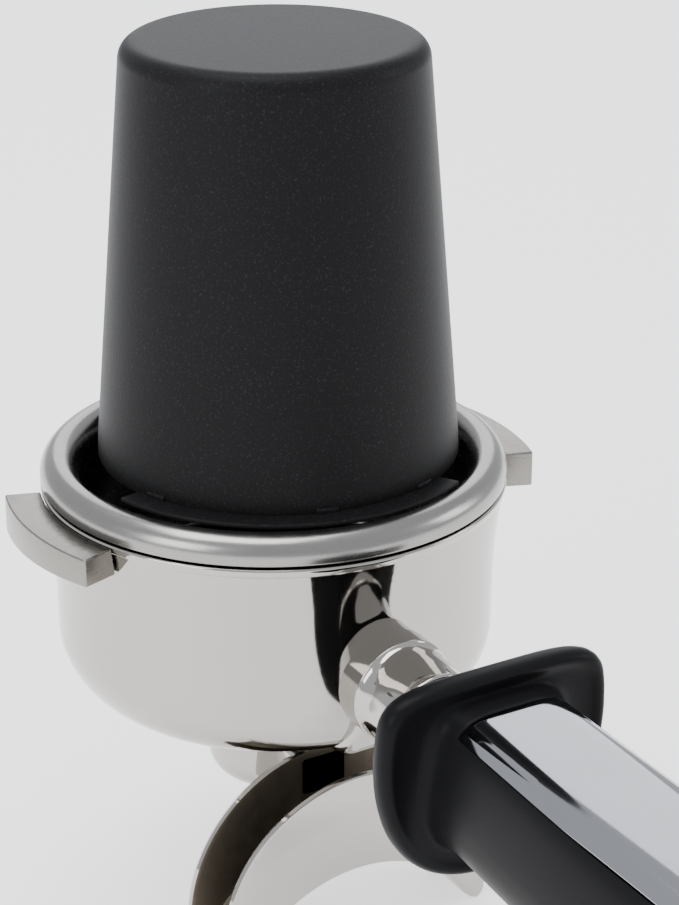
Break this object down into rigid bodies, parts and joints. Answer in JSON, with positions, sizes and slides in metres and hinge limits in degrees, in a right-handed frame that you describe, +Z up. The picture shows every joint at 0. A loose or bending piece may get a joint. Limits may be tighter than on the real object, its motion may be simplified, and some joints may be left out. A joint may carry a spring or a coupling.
{
  "type": "portafilter with dosing cup",
  "caption": "Coffee portafilter with side lugs, black guarded handle and open double spout; a black coned dosing cup stands mouth down on its filter basket.",
  "frame": {"origin": "middle of the base of the whole object's box, level with the spout tips", "axes": "+Z up along the bowl's axis, -Y along the handle away from the bowl, X through the two bayonet lugs"},
  "size_m": [0.0808, 0.2194, 0.1349],
  "materials": {
    "polished_chrome": "polished chrome plate, warm grey",
    "satin_nickel": "satin, fine ground marks",
    "plate_steel": "polished stainless sheet",
    "basket_steel": "satin stainless steel with turned marks on the rim",
    "zinc_steel": "zinc-plated steel",
    "black_plastic": "moulded black plastic, fine satin texture",
    "black_coating": "satin black powder coat with a fine grain",
    "black_rubber": "matte black rubber"
  },
  "bodies": {
    "holder": {"portafilter_body": "polished_chrome", "lug_right": "satin_nickel", "lug_left": "satin_nickel", "handle_neck": "polished_chrome", "neck_ferrule": "polished_chrome", "ferrule_washer": "black_rubber", "handle_stud": "zinc_steel", "handle_grip": "black_plastic", "handle_top_plate": "plate_steel", "stud_washer": "zinc_steel", "stud_lock_washer": "zinc_steel", "stud_nut": "zinc_steel", "handle_end_cap": "black_plastic", "end_cap_screw": "zinc_steel", "basket_spring": "zinc_steel", "spout_gasket": "black_rubber"},
    "basket": {"filter_basket": "basket_steel"},
    "cup": {"dosing_cup": "black_coating"},
    "spout": {"double_spout": "polished_chrome"}
  },
  "joints": [
    {"name": "basket_lift", "type": "slide", "parent": "holder", "child": "basket", "axis": [0, 0, 1], "range_m": [0, 0.04]},
    {"name": "cup_lift", "type": "slide", "parent": "basket", "child": "cup", "axis": [0, 0, 1], "range_m": [0, 0.08]},
    {"name": "spout_turn", "type": "hinge", "parent": "holder", "child": "spout", "pos_m": [0, 0.0747, 0.024], "axis": [0, 0, 1], "range_deg": [-180, 180]}
  ]
}
